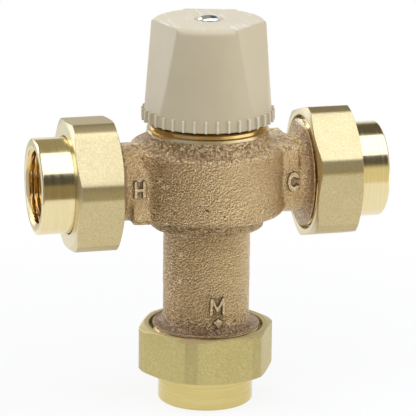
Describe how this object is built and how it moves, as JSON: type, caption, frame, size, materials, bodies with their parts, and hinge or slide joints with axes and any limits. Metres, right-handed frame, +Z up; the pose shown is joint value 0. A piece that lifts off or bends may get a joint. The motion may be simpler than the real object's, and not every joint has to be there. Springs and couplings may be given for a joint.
{
  "type": "thermostatic mixing valve",
  "caption": "Three-port tempering valve: cast bronze body, hand cap over a wax-driven shuttle, and union-nut tailpieces on the hot, cold and mixed ports.",
  "frame": {"origin": "middle of the outlet tailpiece's end face, which the valve stands on", "axes": "+Z up the spindle's axis towards the cap, +X out of the cold inlet, +Y towards the back"},
  "size_m": [0.124, 0.054, 0.139],
  "materials": {
    "cast_bronze": "sand-cast, lightly sparkling",
    "nut_brass": "satin",
    "turned_brass": "fine turned",
    "machined_brass": "machined",
    "beige_plastic": "satin moulded",
    "bright_plate": "polished",
    "stainless_steel": "bright drawn",
    "seal_rubber": "matt",
    "white_plastic": "moulded",
    "grey_plastic": "moulded",
    "copper": "drawn copper"
  },
  "bodies": {
    "body": {"valve_body": "cast_bronze", "bonnet": "machined_brass", "bonnet_seal": "seal_rubber", "spring_retainer": "stainless_steel", "return_spring": "stainless_steel", "hot_check_housing": "white_plastic", "hot_check_seal": "seal_rubber", "hot_check_spring": "stainless_steel", "hot_inlet_screen": "stainless_steel", "cold_check_housing": "white_plastic", "cold_check_seal": "seal_rubber", "cold_check_spring": "stainless_steel", "cold_inlet_screen": "stainless_steel"},
    "adjuster": {"spindle": "machined_brass", "spindle_seal": "seal_rubber", "spindle_clip": "stainless_steel", "cap": "beige_plastic", "cap_screw": "bright_plate"},
    "regulator": {"regulating_nut": "machined_brass", "overtravel_clip": "stainless_steel", "overtravel_spring": "stainless_steel"},
    "overtravel": {"overtravel_pusher": "machined_brass", "element_rod": "stainless_steel"},
    "shuttle_train": {"shuttle": "machined_brass", "shuttle_seal": "seal_rubber", "wax_element": "copper"},
    "hot_poppet": {"hot_check_poppet": "grey_plastic"},
    "cold_poppet": {"cold_check_poppet": "grey_plastic"},
    "hot_tail": {"hot_tailpiece": "turned_brass", "hot_union_gasket": "seal_rubber"},
    "hot_nut": {"hot_union_nut": "nut_brass"},
    "cold_tail": {"cold_tailpiece": "turned_brass", "cold_union_gasket": "seal_rubber"},
    "cold_nut": {"cold_union_nut": "nut_brass"},
    "outlet_tail": {"outlet_tailpiece": "turned_brass", "outlet_union_gasket": "seal_rubber"},
    "outlet_nut": {"outlet_union_nut": "nut_brass"}
  },
  "joints": [
    {"name": "temperature_adjustment", "type": "hinge", "parent": "body", "child": "adjuster", "pos_m": [0, 0, 0.116], "axis": [0, 0, 1], "range_deg": [-360, 360]},
    {"name": "regulating_nut_travel", "type": "slide", "parent": "body", "child": "regulator", "axis": [0, 0, 1], "range_m": [-0.0015, 0.0015]},
    {"name": "overtravel", "type": "slide", "parent": "regulator", "child": "overtravel", "axis": [0, 0, 1], "range_m": [0, 0.0015], "stiffness_N_per_m": 4000, "springref_m": -0.006, "deforming": ["overtravel_spring"]},
    {"name": "shuttle_travel", "type": "slide", "parent": "body", "child": "shuttle_train", "axis": [0, 0, 1], "range_m": [-0.0012, 0.0012], "stiffness_N_per_m": 2500, "springref_m": 0.00018, "deforming": ["return_spring"]},
    {"name": "hot_check_opening", "type": "slide", "parent": "body", "child": "hot_poppet", "axis": [1, 0, 0], "range_m": [0, 0.003], "stiffness_N_per_m": 60, "springref_m": -0.005, "deforming": ["hot_check_spring"]},
    {"name": "cold_check_opening", "type": "slide", "parent": "body", "child": "cold_poppet", "axis": [-1, 0, 0], "range_m": [0, 0.003], "stiffness_N_per_m": 60, "springref_m": -0.005, "deforming": ["cold_check_spring"]},
    {"name": "hot_tailpiece_withdrawal", "type": "slide", "parent": "body", "child": "hot_tail", "axis": [-1, 0, 0], "range_m": [0, 0.00561]},
    {"name": "hot_union_nut_turn", "type": "hinge", "parent": "hot_tail", "child": "hot_nut", "pos_m": [-0.0507, 0, 0.0809], "axis": [-1, 0, 0], "range_deg": [0, 1260]},
    {"name": "cold_tailpiece_withdrawal", "type": "slide", "parent": "body", "child": "cold_tail", "axis": [1, 0, 0], "range_m": [0, 0.00561]},
    {"name": "cold_union_nut_turn", "type": "hinge", "parent": "cold_tail", "child": "cold_nut", "pos_m": [0.0507, 0, 0.0809], "axis": [1, 0, 0], "range_deg": [0, 1260]},
    {"name": "outlet_tailpiece_withdrawal", "type": "slide", "parent": "body", "child": "outlet_tail", "axis": [0, 0, -1], "range_m": [0, 0.00561]},
    {"name": "outlet_union_nut_turn", "type": "hinge", "parent": "outlet_tail", "child": "outlet_nut", "pos_m": [0, 0, 0.0113], "axis": [0, 0, -1], "range_deg": [0, 1260]}
  ],
  "couplings": [
    {"joint": "regulating_nut_travel", "follows": "temperature_adjustment", "m_per_rad": 0.00023873},
    {"joint": "hot_tailpiece_withdrawal", "follows": "hot_union_nut_turn", "m_per_rad": 0.00025465},
    {"joint": "cold_tailpiece_withdrawal", "follows": "cold_union_nut_turn", "m_per_rad": 0.00025465},
    {"joint": "outlet_tailpiece_withdrawal", "follows": "outlet_union_nut_turn", "m_per_rad": 0.00025465}
  ]
}
